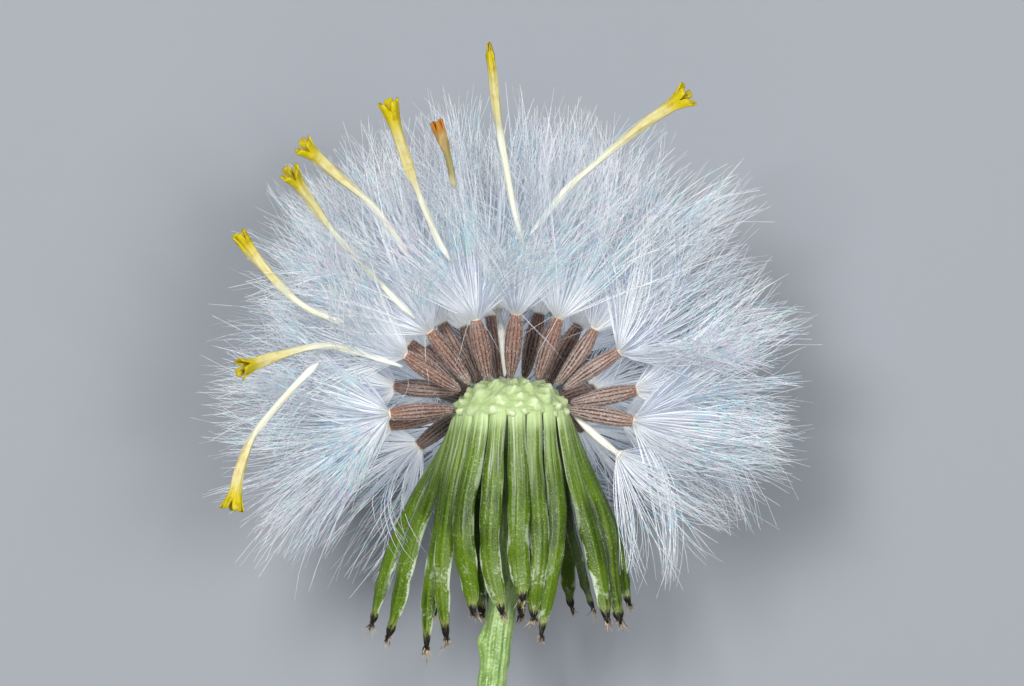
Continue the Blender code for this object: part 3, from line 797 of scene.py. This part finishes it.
def bractLine(name, rng):
    # The middle line, the way across it and the half width, from the frame's rings, foot first. The foot is
    # drawn into the receptacle's rim and lifted off its neighbours.
    rings = nodeRings(name, 9)
    centres = np.array([ring.mean(0) for ring in rings])
    if centres[0, 1] < centres[-1, 1]:
        rings, centres = rings[::-1], centres[::-1]
    sides = [mainWay(ring) for ring in rings]
    outward = unit((centres[0] - headCentre) * [1, 0, 1])
    if np.cross(centres[1] - centres[0], sides[0]) @ outward < 0:
        sides[0] = -sides[0]
    for index in range(1, len(sides)):
        sides[index] = sides[index] * np.sign(sides[index] @ sides[index - 1])
    places = np.linspace(0, 1, bract["rows"])
    girth = np.array([[lengths(ring - ring.mean(0)).max()] for ring in rings])
    centres[0] += unit(centres[0] - centres[1]) * rng.uniform(*bract["rooted"])
    path = spline(centres, places)
    path = path + outward * bract["footLift"] * np.clip(1 - places / 0.2, 0, 1)[:, None] ** 1.5
    return places, path, spline(np.array(sides), places), spline(girth, places)


def bractShreds(path, side, rng):
    # Torn, twisted ends of the dry tip. A strand = root + length * (own way * s + sideways * 0.45 s^2).
    count, s = bract["shreds"], np.linspace(0, 1, 6)[None, :, None]
    tangent = unit(path[-1] - path[-2])
    way = unit(tangent + rng.normal(0, 0.3, (count, 3)))[:, None]
    bent = unit(rng.normal(0, 1, (count, 3)))[:, None]
    reach = bract["shredLength"] * rng.uniform(0.4, 1.1, (count, 1, 1))
    root = path[-1] - tangent * rng.uniform(0.02, 0.2, (count, 1)) * mm
    root = root + side[-1] * rng.uniform(-0.11, 0.11, (count, 1)) * mm
    strands = root[:, None] + reach * (way * s + bent * 0.45 * s ** 2)
    angle = angles(5)
    wide = np.array(bract["shredWidths"])[None, :, None] * mm * rng.uniform(0.5, 1.1, (count, 1, 1))
    across = np.broadcast_to(np.cross(way, bent), strands.shape)
    ring = carry(strands, across, wide * np.cos(angle), 0.45 * wide * np.sin(angle))
    return tubes(ring, np.stack([strands[:, 0], strands[:, -1]], 1), *wholeMap(5, 6, count))


def makeBract(name, finishes, rng):
    # Height = thickness * sin(turn) + keel * (bells at the middle and at 0.62 on either side) on the outer face
    # - curl * half width * across^2 + a ruffle at the edges. The line wanders by sines.
    look = bract
    places, path, side, girth = bractLine(name, rng)
    drift = rng.uniform(0, fullTurn, 4)
    rise = unit(np.cross(np.gradient(path, axis=0), side))
    wander = look["wander"] * np.minimum(places * 3, 1)[:, None]
    path = (path + side * wander * np.sin(places * 9 + drift[0])[:, None]
            + rise * wander * np.sin(places * 12 + drift[1])[:, None])
    turn = angles(look["corners"])
    across, outer = np.cos(turn), np.clip(np.sin(turn), 0, None) ** 0.5
    pinch = 1 + 0.06 * np.sin(places * 14 + drift[2]) + 0.04 * np.sin(places * 31 + drift[3])
    taper = np.interp(places, *look["taper"])
    half = girth * (pinch * taper)[:, None] * rng.uniform(*look["width"])
    split = rng.uniform(-0.12, 0.12)
    ridges = sum(share * np.exp(-((across - middle - split) / width) ** 2)
                 for share, middle, width in ((0.9, 0, 0.2), (0.7, 0.62, 0.15), (0.7, -0.62, 0.15)))
    fade = np.interp(places, [0, 0.08, 0.75, 1], [0.3, 1, 0.8, 0.2])[:, None]
    thick = look["thickness"] * np.where(np.sin(turn) > 0, 0.75, 0.5) * np.sin(turn)
    up = thick * taper[:, None] + look["keel"] * ridges * outer * fade
    curl = look["curl"] * half * across ** 2 * np.interp(places, [0, 0.5, 1], [0.4, 1.0, 0.5])[:, None]
    crinkle = np.sin(places * 43 + drift[3]) + 0.7 * np.sin(places * 71 + drift[0])
    ruffle = look["ruffle"] * across ** 5 * (crinkle * np.clip(places * 2 - 0.9, 0, 1))[:, None]
    shape = carry(path, side, half * across, up - curl + ruffle)
    leaf = skin(shape, path[0], path[-1] + unit(path[-1] - path[-2]) * 0.03 * mm)
    shells = [leaf, bractShreds(path, side, rng)]
    piece = makePiece(name.replace("bract", "leafy_bract"), shells, finishes, name, "green_bract")
    values = np.zeros(len(piece.data.vertices))
    values[:look["rows"] * look["corners"]] = np.tile(ridges * outer, look["rows"])
    addValues(piece.data, "ridge", values)


bractFinishes = [bractFinish(), shredFinish()]
for number, name in enumerate(nodesNamed("bract")):
    makeBract(name, bractFinishes, np.random.default_rng(300 + number))
print("bracts made")


# Withered florets caught in the hairs.
corolla = {
    "rows": 52, "corners": 60, "lobes": 5, "lobeFrom": 0.91, "lobeLength": 0.46 * mm, "lobeFlare": 0.21 * mm,
    "wall": 0.03 * mm, "insideFrom": 0.8, "tubeRadius": 0.115 * mm, "mouthRadius": 0.225 * mm, "wither": 0.14,
    "aged": ["floret_03"], "opening": {"floret_01": -0.6, "floret_03": 0.0, "floret_06": 0.4},
    "styleFrom": 0.82, "styleLength": 0.19,
    "styleWidths": ([0, 0.7, 0.9, 1], [0.035, 0.035, 0.045, 0.02]),  # in mm
    "grain": 4200, "fibre": (18, 9, 1), "relief": 0.04 * mm,
    "limbDeep": rgb(196, 168, 106), "lobeDeep": rgb(164, 132, 10),
    "fresh": {"foot": rgb(234, 236, 228), "tube": rgb(228, 228, 206), "limb": rgb(208, 198, 134),
              "lobe": rgb(198, 180, 5)},
    "old": {"foot": rgb(182, 178, 140), "tube": rgb(152, 144, 96), "limb": rgb(160, 136, 84),
            "lobe": rgb(176, 112, 36)},
}


def corollaFinish(name, foot, tube, limb, lobe):
    # Cream tube, pale limb with long fibres, yellow lobes, and brownish spots towards the tip.
    look = Finish(name, {"Specular IOR Level": 0.3})
    place, _, _ = look.around()
    grain = look.noise(look.inside(), corolla["grain"], 3)
    fibre = look.streaks(place, corolla["fibre"], 3)
    height = look.carried("toTip")
    colour = look.mix(look.step(height, 0.1, 0.35), foot, tube)
    colour = look.mix(look.step(height + (fibre - 0.5) * 0.15, 0.5, 0.75), colour, limb)
    colour = look.mix(look.step(fibre, 0.5, 0.7) * look.step(height, 0.55, 0.7) * 0.5, colour, tube)
    limbSpots = look.step(grain, 0.5, 0.66) * look.step(height, 0.5, 0.75)
    colour = look.mix(limbSpots * 0.55, colour, corolla["limbDeep"])
    colour = look.mix(look.step(height + (fibre - 0.5) * 0.14, 0.84, 0.965), colour, lobe)
    lobeSpots = look.step(grain, 0.52, 0.66) * look.step(height, 0.86, 0.96)
    colour = look.mix(lobeSpots * 0.6, colour, corolla["lobeDeep"])
    look.set({"Base Color": colour, "Roughness": 0.35 + 0.25 * fibre})
    look.bump(fibre + 0.5 * grain, corolla["relief"])
    return look.material


def makeStyle(tangent, side, base, length, rng):
    # A thin column whose two arms curl apart above the lobes: base + tangent * s + arms * (s - 0.8)^1.5.
    s = np.linspace(0, 1, 12)[None, :, None]
    arms = np.stack([side, -side])[:, None]
    reach = corolla["styleLength"] * length * rng.uniform(0.9, 1.0)
    column = base + tangent * s * reach + arms * (np.clip(s - 0.8, 0, 1) ** 1.5 * 0.5 + 0.02) * mm
    angle, wide = angles(6), np.interp(s, *corolla["styleWidths"]) * mm
    across = np.broadcast_to(np.cross(tangent, arms), column.shape)
    ring = carry(column, across, wide * np.cos(angle), wide * np.sin(angle))
    return tubes(ring, np.stack([column[:, 0], column[:, -1]], 1), *wholeMap(6, 12, 2))


def makeFloret(name, finish, rng):
    # A tube along the frame's rings, wider from 0.58 of its length. Its wall is crumpled by sines of the angle
    # and the height, rises to five blunt lobes that bend outwards, then returns inside.
    look, rings = corolla, nodeRings(name, 11)
    centres = np.array([ring.mean(0) for ring in rings])
    girth = [lengths(ring - ring.mean(0)).mean() for ring in rings]
    if girth[0] > girth[-1]:
        centres = centres[::-1]
    places = np.linspace(0, 1, look["rows"])
    path = spline(centres, places)
    opening = look["opening"].get(name, 1)
    widening = np.clip((places - 0.58) / 0.36, 0, 1) ** 0.85 * min(1, 1 + 0.8 * opening)
    radius = look["tubeRadius"] * np.interp(places, [0, 0.1], [0.3, 1])
    radius = (radius + (look["mouthRadius"] - look["tubeRadius"]) * widening)[:, None]
    turn = angles(look["corners"])
    phase = rng.uniform(0, fullTurn, 6)
    lobe = np.minimum(np.abs(np.cos(look["lobes"] * (turn - phase[0]) / 2)) * 1.5, 1) ** 0.8
    past = np.clip((places - look["lobeFrom"]) / (1 - look["lobeFrom"]), 0, 1)[:, None]
    height = places[:, None]
    crumple = (np.sin(3 * turn + phase[1] + 9 * height) * 0.5 + np.sin(5 * turn + phase[2] - 14 * height) * 0.4
               + np.sin(2 * turn + phase[3] + 23 * height) * 0.4)
    spread = look["lobeFlare"] * lobe * (1 + 0.35 * np.sin(2 * turn + phase[4])) - 0.03 * mm * (1 - lobe)
    across = radius * (1 + look["wither"] * crumple) + opening * past ** 1.5 * spread
    side = np.tile(unit(np.cross(path[1] - path[0], [0.1, 0.2, 1.0])), (look["rows"], 1))
    outer = carry(path, side, across * np.cos(turn), across * np.sin(turn))
    tangent = unit(path[-1] - path[-3])
    outer = outer + tangent * ((lobe - 0.7) * look["lobeLength"] * past ** 1.4)[..., None]
    back = np.arange(look["rows"] - 1, int(look["rows"] * look["insideFrom"]), -1)
    wall = look["wall"] * (1 + 1.2 * past[back, :, None] ** 2)
    inner = outer[back] - unit(outer[back] - path[back][:, None]) * wall
    inner[0] += tangent * 0.02 * mm
    shell = skin(np.concatenate([outer, inner]), path[0], path[back[-1]])
    base, length = path[int(look["rows"] * look["styleFrom"])], lengths(np.diff(path, axis=0)).sum()
    style = makeStyle(tangent, side[-1], base, length, rng)
    piece = makePiece(name.replace("floret", "corolla"), [shell, style], [finish], name, "withered_floret")
    heights = np.repeat(np.concatenate([places, places[back]]), look["corners"])
    addValues(piece.data, "toTip", np.concatenate([heights, [0, 0.8], np.full(len(style["points"]), 0.93)]))


freshFinish = corollaFinish("withered corolla", **corolla["fresh"])
oldFinish = corollaFinish("aged corolla", **corolla["old"])
for number, name in enumerate(nodesNamed("floret")):
    makeFloret(name, oldFinish if name in corolla["aged"] else freshFinish, np.random.default_rng(500 + number))
print("florets made")

bpy.context.view_layer.update()
triangles = sum(len(piece.data.loops) - 2 * len(piece.data.polygons) for piece in madePieces)
print("triangles:", triangles)
